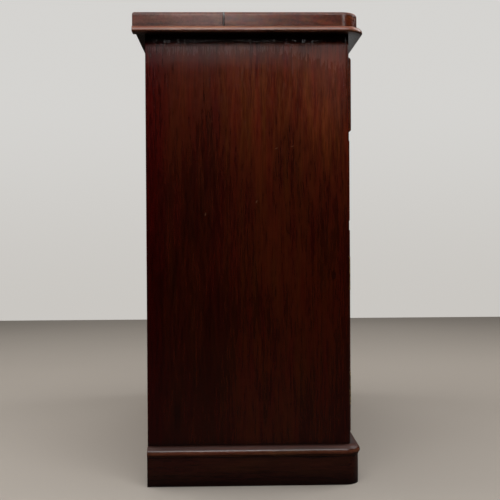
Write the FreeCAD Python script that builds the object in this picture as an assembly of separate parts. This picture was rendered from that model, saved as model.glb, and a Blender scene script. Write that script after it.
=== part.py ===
# Mahogany chiffonier: two short drawers over a long drawer over a pair of panelled doors.
# Millimetres. X runs across the width, the front faces -Y, Z is up from the floor.
import FreeCAD, Part
import os

Vector = FreeCAD.Vector

# Whole piece
body_width = 1000.0
body_depth = 404.6
total_height = 935.0
overrun = 4.0

# Top: two planks edge to edge, with a planted thumb moulding underneath
top_thickness = 28.5
top_overhang = 17.0
top_back_overhang = 23.6
back_plank_width = 179.0
plank_gap = 0.4
top_corner_radius = 34.0
top_edge_round = 6.0
top_moulding_height = 12.5
top_moulding_projection = 11.5
top_moulding_shoulder = 1.0
top_moulding_nose_height = 3.5
top_moulding_fillet_height = 1.0
top_moulding_fillet_setback = 2.0

# Plinth: three boards mitred in rounded corners, a back board and a planted moulding
plinth_height = 58.5
plinth_projection = 16.0
plinth_bearing = 10.0
plinth_corner_radius = 30.0
plinth_back_thickness = 20.0
plinth_block_leg = 45.0
plinth_moulding_height = 19.0
plinth_moulding_projection = 4.0
plinth_moulding_flat = 3.0
plinth_moulding_nose_height = 6.5
plinth_moulding_fillet_height = 2.5
plinth_moulding_fillet_setback = 3.0

# Carcass boards
side_thickness = 20.0
facing_thickness = 12.0
facing_round = 8.0
housing_depth = 6.0
bottom_thickness = 19.0
frieze_height = 53.5
frieze_thickness = 20.0
top_back_rail_depth = 60.0
top_back_rail_thickness = 20.0

# Back: upright boards with lapped edges, let into a rebate of the side boards
back_thickness = 12.0
back_rebate_width = 10.0
back_board_count = 7
back_board_lap = 8.0
back_board_gap = 1.0

# Drawer divisions
short_drawer_height = 151.5
long_drawer_height = 164.5
drawer_rail_thickness = 15.0
drawer_rail_depth = 60.0
runner_width = 40.0
runner_ledge = 25.0
partition_thickness = 18.0
kicker_thickness = 18.0
dust_panel_thickness = 6.0
dust_panel_groove = 6.0

# Drawers
short_drawer_proud = 7.0
long_drawer_proud = 3.2
bull_nose_share = 0.9
drawer_gap = 1.0
drawer_top_gap = 2.0
drawer_end_gap = 8.0
slide_gap = 0.3
drawer_front_thickness = 22.0
drawer_side_thickness = 10.0
drawer_back_thickness = 10.0
drawer_back_drop = 6.0
drawer_bottom_thickness = 7.0
drawer_bottom_inset = 10.0
drawer_groove = 5.0
dovetail_length = 13.0
tail_count = 4
tail_root_share = 0.56
tail_tip_share = 0.68
stop_length = 36.0
stop_depth = 14.0
stop_height = 7.0
drawer_stop_share = 0.25

# Turned wooden knobs
knob_projection = 30.0
knob_base_radius = 13.0
knob_base_height = 3.0
knob_neck_radius = 9.0
knob_neck_place = 9.0
knob_head_radius = 19.0
knob_head_place = 17.0
knob_spigot_radius = 6.0
knob_spigot_length = 18.0

# Doors
door_proud = 3.5
door_thickness = 22.0
door_gap = 1.5
door_hinge_gap = 1.0
door_meeting_gap = 2.0
door_stile_width = 72.0
door_top_rail_width = 76.0
door_bottom_rail_width = 94.0
door_tenon_length = 48.0
door_tenon_thickness = 8.0
door_tenon_shoulder = 14.0
door_moulding_size = 8.0
door_moulding_quirk = 1.5
panel_groove = 9.0
panel_expansion = 1.0
panel_tongue_thickness = 5.0
panel_tongue_inset = 12.0
panel_bevel_width = 34.0
panel_field_inset = 6.0
panel_field_step = 1.5
door_stop_length = 60.0
door_stop_depth = 12.0
door_stop_height = 8.0
door_stop_share = 0.12

# Brass butt hinges
hinge_height = 66.0
hinge_margin = 55.0
hinge_leaf_width = 17.0
hinge_leaf_thickness = 2.0
hinge_leaf_gap = 0.5
knuckle_radius = 2.5
knuckle_count = 3
knuckle_gap = 0.4
knuckle_clearance = 0.3
hinge_pin_radius = 1.2
hinge_pin_clearance = 0.05

# Door furniture
door_knob_rise = 60.0
escutcheon_half_width = 9.0
escutcheon_half_height = 14.0
escutcheon_thickness = 1.6
keyhole_radius = 3.0
keyhole_slot_width = 3.0
keyhole_slot_length = 9.0
lock_case_width = 42.0
lock_case_height = 62.0
lock_case_thickness = 12.0

# Slip bolt on the inside of the left door
bolt_radius = 3.5
bolt_clearance = 0.05
bolt_travel = 12.0
bolt_head_gap = 1.0
bolt_tail = 6.0
bolt_socket_clearance = 0.8
bolt_plate_width = 24.0
bolt_plate_height = 80.0
bolt_plate_thickness = 1.6
bolt_plate_drop = 6.0
bolt_keep_width = 14.0
bolt_keep_height = 13.0
bolt_keep_wall = 2.0
bolt_thumb_radius = 4.0
bolt_thumb_length = 11.0
bolt_thumb_rise = 3.0

# Cupboard shelf
shelf_thickness = 18.0
shelf_height_share = 0.5
shelf_setback = 45.0
shelf_end_gap = 0.5
shelf_edge_round = 4.0
bearer_width = 18.0
bearer_height = 26.0
bearer_setback = 20.0

# Places across the width
half_width = body_width / 2
inner_half = half_width - side_thickness
partition_half = partition_thickness / 2
centre_runner_half = partition_half + runner_ledge
door_edge = -inner_half + door_hinge_gap
door_meeting = -door_meeting_gap / 2

# Places front to back, centred between the knob tips and the back edge of the top
front_reach = short_drawer_proud + knob_projection
whole_depth = front_reach + body_depth + top_back_overhang
top_back = whole_depth / 2
body_back = top_back - top_back_overhang
body_front = body_back - body_depth
side_front = body_front + facing_thickness
back_face = body_back - back_thickness
rail_back = body_front + drawer_rail_depth
door_face = body_front - door_proud
door_back = door_face + door_thickness

# Heights, worked down from the top
top_under = total_height - top_thickness
frieze_under = top_under - frieze_height
upper_rail_top = frieze_under - short_drawer_height
upper_rail_under = upper_rail_top - drawer_rail_thickness
lower_rail_top = upper_rail_under - long_drawer_height
lower_rail_under = lower_rail_top - drawer_rail_thickness
bottom_under = plinth_height + plinth_moulding_height
bottom_top = bottom_under + bottom_thickness
door_foot = bottom_top + door_gap
door_head = lower_rail_under - door_gap
shelf_top = bottom_top + (lower_rail_under - bottom_top) * shelf_height_share
shelf_under = shelf_top - shelf_thickness

# Axis of the left door's hinges: in the middle of the gap, the barrels no prouder than the door's face
hinge_x = -inner_half + door_hinge_gap / 2
hinge_y = door_face + knuckle_radius
hinge_feet = (door_foot + hinge_margin, door_head - hinge_margin - hinge_height)

# Lock on the right door's meeting stile and bolt on the left door's
lock_x = -door_meeting + door_stile_width / 2
lock_z = (door_foot + door_head) / 2
door_knob_z = lock_z + door_knob_rise
bolt_x = -lock_x
bolt_y = door_back + bolt_plate_thickness + bolt_radius + bolt_clearance
bolt_head = door_head - bolt_head_gap
bolt_plate_head = door_head - bolt_plate_drop
bolt_plate_foot = bolt_plate_head - bolt_plate_height

upward = Vector(0, 0, 1)
mitre_angle = 45
full_turn = 360
quarter_ellipse_weight = 0.5 ** 0.5


# Shape helpers

def box(x0, x1, y0, y1, z0, z1):
    return Part.makeBox(x1 - x0, y1 - y0, z1 - z0, Vector(x0, y0, z0))


def mirrored(shape):
    """The same piece on the other side of the middle."""
    return shape.mirror(Vector(0, 0, 0), Vector(1, 0, 0))


def quarter_ellipse(start, corner, end):
    """A quarter of an ellipse that leaves start and reaches end along the lines to the corner."""
    curve = Part.BezierCurve()
    curve.setPoles([start, corner, end])
    curve.setWeight(2, quarter_ellipse_weight)
    return curve.toShape()


def outlined_face(start, steps):
    """A flat face. A step is a point to draw a line to, or a corner and an end to curve to."""
    edges = []
    here = start
    for step in steps:
        if isinstance(step, tuple):
            edges.append(quarter_ellipse(here, step[0], step[1]))
            here = step[1]
        else:
            edges.append(Part.makeLine(here, step))
            here = step
    if here != start:
        edges.append(Part.makeLine(here, start))
    return Part.Face(Part.Wire(edges))


def joined(first, others):
    return first.multiFuse(others).removeSplitter()


def flat_place(x, y):
    """A point of a plan outline, drawn at floor level."""
    return Vector(x, y, 0)


def round_fronted_block(half, back, front, radius, z0, z1):
    """A block that is square at the back, with both front corners rounded in plan."""
    outline = outlined_face(
        Vector(half, back, z0),
        [
            Vector(-half, back, z0),
            Vector(-half, front + radius, z0),
            (Vector(-half, front, z0), Vector(-half + radius, front, z0)),
            Vector(half - radius, front, z0),
            (Vector(half, front, z0), Vector(half, front + radius, z0)),
        ],
    )
    return outline.extrude(upward * (z1 - z0))


def carcass_block():
    """The outside of the carcass, with the round on its two front corners."""
    return round_fronted_block(half_width, body_back, body_front, facing_round, plinth_height, top_under)


def crossed(section, x0, x1, z0, z1):
    """What an upright run and a level run of one section share, so its corners are mitred."""
    upright = section(lambda along, y: Vector(along, y, z0), x0, x1).extrude(upward * (z1 - z0))
    level = section(lambda along, y: Vector(x0, y, along), z0, z1).extrude(Vector(x1 - x0, 0, 0))
    return upright.common(level)


def bull_nosed_block(x0, x1, z0, z1, face, thickness, nose):
    """A board with the four edges of its face rounded over."""
    back = face + thickness

    def section(place, low, high):
        return outlined_face(
            place(low, back),
            [
                place(low, face + nose),
                (place(low, face), place(low + nose, face)),
                place(high - nose, face),
                (place(high, face), place(high, face + nose)),
                place(high, back),
            ],
        )

    return crossed(section, x0, x1, z0, z1)


# Top and plinth

def thumb_section(place, inner, base, height, flat_end, reach, nose_height, fillet_height, fillet_setback):
    """Thumb moulding: a fillet below, a small round out to the nose, a long round back to the top."""
    fillet = reach - fillet_setback
    top = base + height
    return outlined_face(
        place(inner, base),
        [
            place(fillet, base),
            place(fillet, base + fillet_height),
            (place(reach, base + fillet_height), place(reach, base + nose_height)),
            (place(reach, top), place(flat_end, top)),
            place(inner, top),
        ],
    )


def mitred_rim(section, corner_inset, run_inner, turn_inner, back_end):
    """Left, front and right strips round the carcass, mitred halfway round each front corner."""
    corner_x = -half_width + corner_inset
    corner_y = body_front + corner_inset
    pivot = flat_place(corner_x, corner_y)

    def side_place(out, up):
        return Vector(-half_width - out, corner_y, up)

    def front_place(out, up):
        return Vector(corner_x, body_front - out, up)

    block = carcass_block()
    side_run = section(side_place, run_inner).extrude(Vector(0, back_end - corner_y, 0))
    side_turn = section(side_place, turn_inner).revolve(pivot, upward, mitre_angle).cut(block)
    front_run = section(front_place, run_inner).extrude(Vector(-corner_x - corner_x, 0, 0))
    front_turn = section(front_place, turn_inner).revolve(pivot, upward, -mitre_angle).cut(block)
    left = joined(side_run, [side_turn])
    front = joined(front_run, [front_turn, mirrored(front_turn)])
    return left, front, mirrored(left)


def top_planks():
    """Back and front planks of the top, parted by the opened glue line."""
    slab = round_fronted_block(
        half_width + top_overhang, top_back, body_front - top_overhang, top_corner_radius,
        top_under, total_height,
    )
    upper_edges = [edge for edge in slab.Edges if edge.BoundBox.ZMin > top_under + top_edge_round]
    slab = slab.makeFillet(top_edge_round, upper_edges)
    joint = top_back - back_plank_width
    reach = body_width
    back_zone = box(-reach, reach, joint, top_back + overrun, top_under - overrun, total_height + overrun)
    front_zone = box(
        -reach, reach, body_front - top_overhang - overrun, joint - plank_gap,
        top_under - overrun, total_height + overrun,
    )
    return slab.common(back_zone), slab.common(front_zone)


def top_mouldings():
    inset = top_corner_radius - top_overhang

    def section(place, inner):
        return thumb_section(
            place, inner, top_under - top_moulding_height, top_moulding_height,
            top_overhang + top_moulding_shoulder, top_overhang + top_moulding_projection,
            top_moulding_nose_height, top_moulding_fillet_height, top_moulding_fillet_setback,
        )

    return mitred_rim(section, inset, 0, -inset, top_back)


def plinth_mouldings():
    inset = plinth_corner_radius - plinth_projection

    def section(place, inner):
        return thumb_section(
            place, inner, plinth_height, plinth_moulding_height,
            plinth_moulding_flat, plinth_projection + plinth_moulding_projection,
            plinth_moulding_nose_height, plinth_moulding_fillet_height, plinth_moulding_fillet_setback,
        )

    return mitred_rim(section, inset, 0, -inset, body_back)


def plinth_boards():
    def section(place, inner):
        return outlined_face(
            place(inner, 0),
            [
                place(plinth_projection, 0),
                place(plinth_projection, plinth_height),
                place(inner, plinth_height),
            ],
        )

    inset = plinth_corner_radius - plinth_projection
    return mitred_rim(section, inset, -plinth_bearing, -plinth_bearing, body_back)


def plinth_back():
    inside = half_width - plinth_bearing
    return box(-inside, inside, body_back - plinth_back_thickness, body_back, 0, plinth_height)


def plinth_blocks():
    """Glue blocks in the plinth's corners, rounded where they bed in the front corners."""
    inside = half_width - plinth_bearing
    front = body_front + plinth_bearing
    back = body_back - plinth_back_thickness
    bend = plinth_corner_radius - plinth_projection - plinth_bearing
    front_block = outlined_face(
        flat_place(-inside, front + plinth_block_leg),
        [
            flat_place(-inside, front + bend),
            (flat_place(-inside, front), flat_place(-inside + bend, front)),
            flat_place(-inside + plinth_block_leg, front),
        ],
    ).extrude(upward * plinth_height)
    back_block = outlined_face(
        flat_place(-inside, back),
        [flat_place(-inside + plinth_block_leg, back), flat_place(-inside, back - plinth_block_leg)],
    ).extrude(upward * plinth_height)
    return [front_block, back_block, mirrored(front_block), mirrored(back_block)]


# Carcass

def housed_board(z0, z1, back):
    """A board between the facings whose ends are let into the side boards behind them."""
    front_part = box(-inner_half, inner_half, body_front, back, z0, z1)
    end = inner_half + housing_depth
    return joined(front_part, [box(-end, end, side_front, back, z0, z1)])


def dust_panel(x0, x1, rail_under):
    """A thin panel in the grooves of a drawer rail and its runners."""
    low = rail_under + (drawer_rail_thickness - dust_panel_thickness) / 2
    return box(
        x0 - dust_panel_groove, x1 + dust_panel_groove, rail_back - dust_panel_groove, back_face,
        low, low + dust_panel_thickness,
    )


def upper_dust_panels():
    left = dust_panel(-inner_half + runner_width, -centre_runner_half, upper_rail_under)
    return [left, mirrored(left)]


def lower_dust_panel():
    return dust_panel(-inner_half + runner_width, inner_half - runner_width, lower_rail_under)


def drawer_rail(rail_under, cuts):
    return housed_board(rail_under, rail_under + drawer_rail_thickness, rail_back).cut(cuts)


def bottom_board():
    return housed_board(bottom_under, bottom_top, back_face)


def runner(x0, x1, rail_under, panels):
    bar = box(x0, x1, rail_back, back_face, rail_under, rail_under + drawer_rail_thickness)
    return bar.cut(panels)


def drawer_runners():
    upper = upper_dust_panels()
    lower = [lower_dust_panel()]
    inside = -inner_half + runner_width
    upper_left = runner(-inner_half, inside, upper_rail_under, upper)
    lower_left = runner(-inner_half, inside, lower_rail_under, lower)
    centre = runner(-centre_runner_half, centre_runner_half, upper_rail_under, upper)
    return [upper_left, mirrored(upper_left), centre, lower_left, mirrored(lower_left)]


def drawer_kickers():
    """Strips over the short drawers' sides that keep the drawers level when they are pulled out."""
    front = body_front + frieze_thickness
    top = frieze_under + kicker_thickness
    left = box(-inner_half, -inner_half + runner_width, front, back_face, frieze_under, top)
    centre = box(-centre_runner_half, centre_runner_half, front, back_face, frieze_under, top)
    return [left, centre, mirrored(left)]


def drawer_partition():
    return box(-partition_half, partition_half, body_front, back_face, upper_rail_top, frieze_under)


def frieze_rail():
    return box(-inner_half, inner_half, body_front, body_front + frieze_thickness, frieze_under, top_under)


def top_back_rail():
    return box(
        -inner_half, inner_half, back_face - top_back_rail_depth, back_face,
        top_under - top_back_rail_thickness, top_under,
    )


def hinge_recess(x0, x1, foot):
    """The bed for one hinge leaf, open to the front, with room for the knuckle."""
    head = foot + hinge_height
    bed = box(x0, x1, hinge_y - overrun, hinge_y + hinge_leaf_width, foot, head)
    knuckle = Part.makeCylinder(
        knuckle_radius + knuckle_clearance, hinge_height, Vector(hinge_x, hinge_y, foot)
    )
    return bed.fuse(knuckle)


def fixed_leaf_recesses():
    return [hinge_recess(-inner_half - hinge_leaf_thickness, -inner_half, foot) for foot in hinge_feet]


def left_side_board():
    board = box(-half_width, -inner_half, side_front, body_back, plinth_height, top_under)
    rebate = box(
        -inner_half - back_rebate_width, -inner_half + overrun, back_face, body_back + overrun,
        plinth_height - overrun, top_under + overrun,
    )
    rails = [drawer_rail(upper_rail_under, []), drawer_rail(lower_rail_under, [])]
    return board.cut([rebate, bottom_board()] + rails + fixed_leaf_recesses())


def left_facing():
    strip = box(-half_width, -inner_half, body_front, side_front, plinth_height, top_under)
    return strip.common(carcass_block()).cut(fixed_leaf_recesses())


def back_boards():
    """Upright boards, each with its edge lapped over the next."""
    start = -inner_half - back_rebate_width
    pitch = (-start - start) / back_board_count
    middle = (back_face + body_back) / 2
    boards = []
    for place in range(back_board_count):
        left = start + pitch * place
        right = left + pitch
        first = place == 0
        last = place == back_board_count - 1
        inner_left = left if first else left + back_board_gap
        outer_left = left if first else inner_left + back_board_lap
        outer_right = right if last else right + back_board_lap
        inner = box(inner_left, right, back_face, middle, plinth_height, top_under)
        outer = box(outer_left, outer_right, middle, body_back, plinth_height, top_under)
        boards.append(joined(inner, [outer]))
    return boards


def cupboard_shelf():
    end = inner_half - shelf_end_gap
    front = body_front + shelf_setback
    nose = outlined_face(
        Vector(-end, back_face, shelf_under),
        [
            Vector(-end, front, shelf_under),
            Vector(-end, front, shelf_top - shelf_edge_round),
            (Vector(-end, front, shelf_top), Vector(-end, front + shelf_edge_round, shelf_top)),
            Vector(-end, back_face, shelf_top),
        ],
    )
    return nose.extrude(Vector(end + end, 0, 0))


def shelf_bearers():
    """Strips under the ends of the shelf, with their front ends cut back on the slant."""
    front = body_front + shelf_setback + bearer_setback
    foot = shelf_under - bearer_height
    side = outlined_face(
        Vector(-inner_half, back_face, foot),
        [
            Vector(-inner_half, front + bearer_height, foot),
            Vector(-inner_half, front, shelf_under - bearer_height / 2),
            Vector(-inner_half, front, shelf_under),
            Vector(-inner_half, back_face, shelf_under),
        ],
    )
    left = side.extrude(Vector(bearer_width, 0, 0))
    return [left, mirrored(left)]


# Drawers

def knob(x, z, face):
    """A turned knob on its spigot, drawn as a half outline and spun about its own axis."""
    def place(out, radius):
        return Vector(x + radius, face - out, z)

    outline = outlined_face(
        place(-knob_spigot_length, 0),
        [
            place(-knob_spigot_length, knob_spigot_radius),
            place(0, knob_spigot_radius),
            place(0, knob_base_radius),
            place(knob_base_height, knob_base_radius),
            (place(knob_base_height, knob_neck_radius), place(knob_neck_place, knob_neck_radius)),
            (place(knob_head_place, knob_neck_radius), place(knob_head_place, knob_head_radius)),
            (place(knob_projection, knob_head_radius), place(knob_projection, 0)),
        ],
    )
    return outline.revolve(Vector(x, face, z), Vector(0, 1, 0), full_turn)


def knob_hole(x, z, face):
    return Part.makeCylinder(
        knob_spigot_radius, knob_spigot_length + overrun, Vector(x, face - overrun, z), Vector(0, 1, 0)
    )


def tails(x0, x1, y_root, y_tip, z0, z1):
    """The dovetails on one end of a drawer side, wider at their tips."""
    pitch = (z1 - z0) / tail_count
    root_half = pitch * tail_root_share / 2
    tip_half = pitch * tail_tip_share / 2
    shapes = []
    for place in range(tail_count):
        middle = z0 + pitch * place + pitch / 2
        outline = outlined_face(
            Vector(x0, y_root, middle - root_half),
            [
                Vector(x0, y_tip, middle - tip_half),
                Vector(x0, y_tip, middle + tip_half),
                Vector(x0, y_root, middle + root_half),
            ],
        )
        shapes.append(outline.extrude(Vector(x1 - x0, 0, 0)))
    return shapes


def drawer(name, x0, x1, z0, z1, proud, knob_places):
    """The six nodes of a drawer that fills the opening x0 to x1 and z0 to z1."""
    face = body_front - proud
    inside = face + drawer_front_thickness
    end = back_face - drawer_end_gap
    left = x0 + drawer_gap
    right = x1 - drawer_gap
    low = z0 + slide_gap
    high = z1 - drawer_top_gap
    floor = low + drawer_bottom_inset
    floor_top = floor + drawer_bottom_thickness
    back_front = end - drawer_back_thickness
    back_top = high - drawer_back_drop
    left_inner = left + drawer_side_thickness
    right_inner = right - drawer_side_thickness
    knob_z = (z0 + z1) / 2

    bottom = box(
        left_inner - drawer_groove, right_inner + drawer_groove, inside - drawer_groove, end,
        floor, floor_top,
    )
    left_tails = tails(left, left_inner, inside, inside - dovetail_length, low, high)
    right_tails = tails(right_inner, right, inside, inside - dovetail_length, low, high)
    left_end_tails = tails(left, left_inner, back_front, end, floor_top, back_top)
    right_end_tails = tails(right_inner, right, back_front, end, floor_top, back_top)

    back = box(left, right, back_front, end, floor_top, back_top).cut(left_end_tails + right_end_tails)
    left_side = joined(box(left, left_inner, inside, end, low, high), left_tails).cut([bottom, back])
    right_side = joined(box(right_inner, right, inside, end, low, high), right_tails).cut([bottom, back])
    front = bull_nosed_block(
        left, right, z0 + drawer_gap, z1 - drawer_gap, face, drawer_front_thickness,
        proud * bull_nose_share,
    )
    holes = [knob_hole(x, knob_z, face) for x in knob_places]
    front = front.cut(left_tails + right_tails + [bottom] + holes)
    knobs = [knob(x, knob_z, face) for x in knob_places]
    return {
        name + "_front": front,
        name + "_left_side": left_side,
        name + "_right_side": right_side,
        name + "_back": back,
        name + "_bottom": bottom,
        name + ("_knobs" if len(knobs) > 1 else "_knob"): Part.makeCompound(knobs),
    }


def stop_block(middle, front, depth, length, z0, z1):
    return box(middle - length / 2, middle + length / 2, front, front + depth, z0, z1)


def stop_blocks():
    """Small blocks that the drawer fronts and the doors come to rest against."""
    inside_width = inner_half + inner_half
    blocks = []
    for share in (-drawer_stop_share, drawer_stop_share):
        for proud, rail_top in ((short_drawer_proud, upper_rail_top), (long_drawer_proud, lower_rail_top)):
            front = body_front - proud + drawer_front_thickness + slide_gap
            blocks.append(stop_block(
                inside_width * share, front, stop_depth, stop_length, rail_top, rail_top + stop_height
            ))
    for share in (-door_stop_share, door_stop_share):
        blocks.append(stop_block(
            inside_width * share, door_back + slide_gap, door_stop_depth, door_stop_length,
            lower_rail_under - door_stop_height, lower_rail_under,
        ))
    return blocks


# Doors

def opening_section(place, low, high):
    """The sight opening of a door frame, widening to the front over an ovolo and a quirk."""
    step = door_face + door_moulding_quirk
    seat = step + door_moulding_size
    return outlined_face(
        place(low, door_back + overrun),
        [
            place(low, seat),
            (place(low, step), place(low - door_moulding_size, step)),
            place(low - door_moulding_size, door_face - overrun),
            place(high + door_moulding_size, door_face - overrun),
            place(high + door_moulding_size, step),
            (place(high, step), place(high, seat)),
            place(high, door_back + overrun),
        ],
    )


def panel_section(place, low, high):
    """A raised panel: a tongue all round, a bevel and a flat field."""
    tongue_face = door_face + panel_tongue_inset
    back = tongue_face + panel_tongue_thickness
    field = door_face + panel_field_inset
    bevel_start = panel_groove
    bevel_end = bevel_start + panel_bevel_width
    return outlined_face(
        place(low, back),
        [
            place(low, tongue_face),
            place(low + bevel_start, tongue_face),
            place(low + bevel_end, field + panel_field_step),
            place(low + bevel_end, field),
            place(high - bevel_end, field),
            place(high - bevel_end, field + panel_field_step),
            place(high - bevel_start, tongue_face),
            place(high, tongue_face),
            place(high, back),
        ],
    )


def crossed_opening(x0, x1, z0, z1):
    """The moulded sight opening, mitred at its corners."""
    reach = door_moulding_size
    upright = opening_section(lambda along, y: Vector(along, y, z0 - reach), x0, x1)
    level = opening_section(lambda along, y: Vector(x0 - reach, y, along), z0, z1)
    upright = upright.extrude(upward * (z1 - z0 + reach + reach))
    level = level.extrude(Vector(x1 - x0 + reach + reach, 0, 0))
    return upright.common(level)


def left_door():
    """Stiles, rails and panel of the left door, closed."""
    x0 = door_edge
    x1 = door_meeting
    sight_left = x0 + door_stile_width
    sight_right = x1 - door_stile_width
    sight_low = door_foot + door_bottom_rail_width
    sight_high = door_head - door_top_rail_width
    slab = bull_nosed_block(
        x0, x1, door_foot, door_head, door_face, door_thickness, door_proud * bull_nose_share
    )
    tongue_face = door_face + panel_tongue_inset
    groove = box(
        sight_left - panel_groove, sight_right + panel_groove,
        tongue_face, tongue_face + panel_tongue_thickness,
        sight_low - panel_groove, sight_high + panel_groove,
    )
    frame = slab.cut([crossed_opening(sight_left, sight_right, sight_low, sight_high), groove])

    tenon_face = door_face + (door_thickness - door_tenon_thickness) / 2
    tenon_back = tenon_face + door_tenon_thickness
    rails = []
    tenons = []
    for low, high in ((door_foot, sight_low), (sight_high, door_head)):
        tongue = box(
            sight_left - door_tenon_length, sight_right + door_tenon_length, tenon_face, tenon_back,
            low + door_tenon_shoulder, high - door_tenon_shoulder,
        )
        zone = box(sight_left, sight_right, door_face - overrun, door_back + overrun, low, high)
        rails.append(joined(frame.common(zone), [tongue]))
        tenons.append(tongue)
    beds = [hinge_recess(x0 - overrun, x0 + hinge_leaf_thickness, foot) for foot in hinge_feet]
    stiles = []
    for low, high in ((x0, sight_left), (sight_right, x1)):
        zone = box(low, high, door_face - overrun, door_back + overrun, door_foot, door_head)
        stiles.append(frame.common(zone).cut(tenons + beds))

    edge = panel_groove - panel_expansion
    panel = crossed(panel_section, sight_left - edge, sight_right + edge, sight_low - edge, sight_high + edge)
    return stiles, rails, panel


def knuckle(z0, z1, leaf_x0, leaf_x1):
    """One barrel of a hinge and the strap that ties it to its leaf."""
    barrel = Part.makeCylinder(knuckle_radius, z1 - z0, Vector(hinge_x, hinge_y, z0))
    strap = box(leaf_x0, leaf_x1, hinge_y, hinge_y + knuckle_radius + hinge_leaf_gap, z0, z1)
    return barrel.fuse(strap)


def leaf_plate(x0, x1, foot):
    start = hinge_y + knuckle_radius + hinge_leaf_gap
    return box(x0, x1, start, hinge_y + hinge_leaf_width, foot, foot + hinge_height)


def fixed_leaves():
    """Leaves in the carcass, with the outer barrels bored for the pin."""
    leaves = []
    part_height = hinge_height / knuckle_count
    x0 = -inner_half - hinge_leaf_thickness
    for foot in hinge_feet:
        head = foot + hinge_height
        lower = knuckle(foot, foot + part_height - knuckle_gap, x0, -inner_half)
        upper = knuckle(head - part_height + knuckle_gap, head, x0, -inner_half)
        bore = Part.makeCylinder(
            hinge_pin_radius + hinge_pin_clearance, hinge_height + overrun + overrun,
            Vector(hinge_x, hinge_y, foot - overrun),
        )
        leaves.append(joined(leaf_plate(x0, -inner_half, foot), [lower, upper]).cut(bore))
    return leaves


def door_leaves():
    """Leaves on the door, with the middle barrel and the pin that runs right through."""
    leaves = []
    part_height = hinge_height / knuckle_count
    x1 = door_edge + hinge_leaf_thickness
    for foot in hinge_feet:
        middle = knuckle(foot + part_height, foot + part_height + part_height, door_edge, x1)
        pin = Part.makeCylinder(hinge_pin_radius, hinge_height, Vector(hinge_x, hinge_y, foot))
        leaves.append(joined(leaf_plate(door_edge, x1, foot), [middle, pin]))
    return leaves


def keyhole(depth):
    """A round hole over a slot, cut back from just in front of the door's face."""
    length = escutcheon_thickness + overrun + depth
    front = door_face - escutcheon_thickness - overrun
    eye = Part.makeCylinder(keyhole_radius, length, Vector(lock_x, front, lock_z), Vector(0, 1, 0))
    slot = box(
        lock_x - keyhole_slot_width / 2, lock_x + keyhole_slot_width / 2, front, front + length,
        lock_z - keyhole_slot_length, lock_z,
    )
    return eye.fuse(slot)


def door_escutcheon():
    """An oval brass plate round the keyhole."""
    def place(x, z):
        return Vector(lock_x + x, door_face - escutcheon_thickness, lock_z + z)

    wide = escutcheon_half_width
    tall = escutcheon_half_height
    oval = outlined_face(
        place(wide, 0),
        [
            (place(wide, tall), place(0, tall)),
            (place(-wide, tall), place(-wide, 0)),
            (place(-wide, -tall), place(0, -tall)),
            (place(wide, -tall), place(wide, 0)),
        ],
    )
    return oval.extrude(Vector(0, escutcheon_thickness, 0)).cut(keyhole(overrun))


def lock_case():
    """The lock, let into the back of the meeting stile and flush with its edge."""
    left = -door_meeting
    half_height = lock_case_height / 2
    return box(
        left, left + lock_case_width, door_back - lock_case_thickness, door_back,
        lock_z - half_height, lock_z + half_height,
    )


def bolt_plate():
    """A plate with two keeps that the slip bolt runs in."""
    half_plate = bolt_plate_width / 2
    half_keep = bolt_keep_width / 2
    keep_back = bolt_y + bolt_radius + bolt_keep_wall
    plate = box(
        bolt_x - half_plate, bolt_x + half_plate, door_back, door_back + bolt_plate_thickness,
        bolt_plate_foot, bolt_plate_head,
    )
    keeps = [
        box(bolt_x - half_keep, bolt_x + half_keep, door_back, keep_back, foot, foot + bolt_keep_height)
        for foot in (bolt_plate_foot, bolt_plate_head - bolt_keep_height)
    ]
    bore = Part.makeCylinder(
        bolt_radius + bolt_clearance, bolt_plate_height + overrun + overrun,
        Vector(bolt_x, bolt_y, bolt_plate_foot - overrun),
    )
    return joined(plate, keeps).cut(bore)


def slip_bolt():
    """The bolt drawn down, with its thumb piece just above the lower keep."""
    foot = bolt_plate_foot - bolt_tail
    rod = Part.makeCylinder(bolt_radius, bolt_head - foot, Vector(bolt_x, bolt_y, foot))
    thumb_z = bolt_plate_foot + bolt_keep_height + bolt_thumb_radius + bolt_thumb_rise
    thumb = Part.makeCylinder(
        bolt_thumb_radius, bolt_thumb_length, Vector(bolt_x, bolt_y, thumb_z), Vector(0, 1, 0)
    )
    return joined(rod, [thumb])


def bolt_socket():
    """The blind hole in the rail over the doors that the slip bolt shoots into."""
    depth = bolt_head + bolt_travel + bolt_head_gap - lower_rail_under
    return Part.makeCylinder(
        bolt_radius + bolt_socket_clearance, depth + overrun,
        Vector(bolt_x, bolt_y, lower_rail_under - overrun),
    )


# Assembly

def top_and_plinth_nodes():
    back_plank, front_plank = top_planks()
    top_left, top_front, top_right = top_mouldings()
    plinth_left, plinth_front, plinth_right = plinth_boards()
    rim_left, rim_front, rim_right = plinth_mouldings()
    return {
        "top_board_back": back_plank,
        "top_board_front": front_plank,
        "top_moulding_left": top_left,
        "top_moulding_front": top_front,
        "top_moulding_right": top_right,
        "plinth_left": plinth_left,
        "plinth_front": plinth_front,
        "plinth_right": plinth_right,
        "plinth_back": plinth_back(),
        "plinth_blocks": Part.makeCompound(plinth_blocks()),
        "plinth_moulding_left": rim_left,
        "plinth_moulding_front": rim_front,
        "plinth_moulding_right": rim_right,
    }


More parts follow.
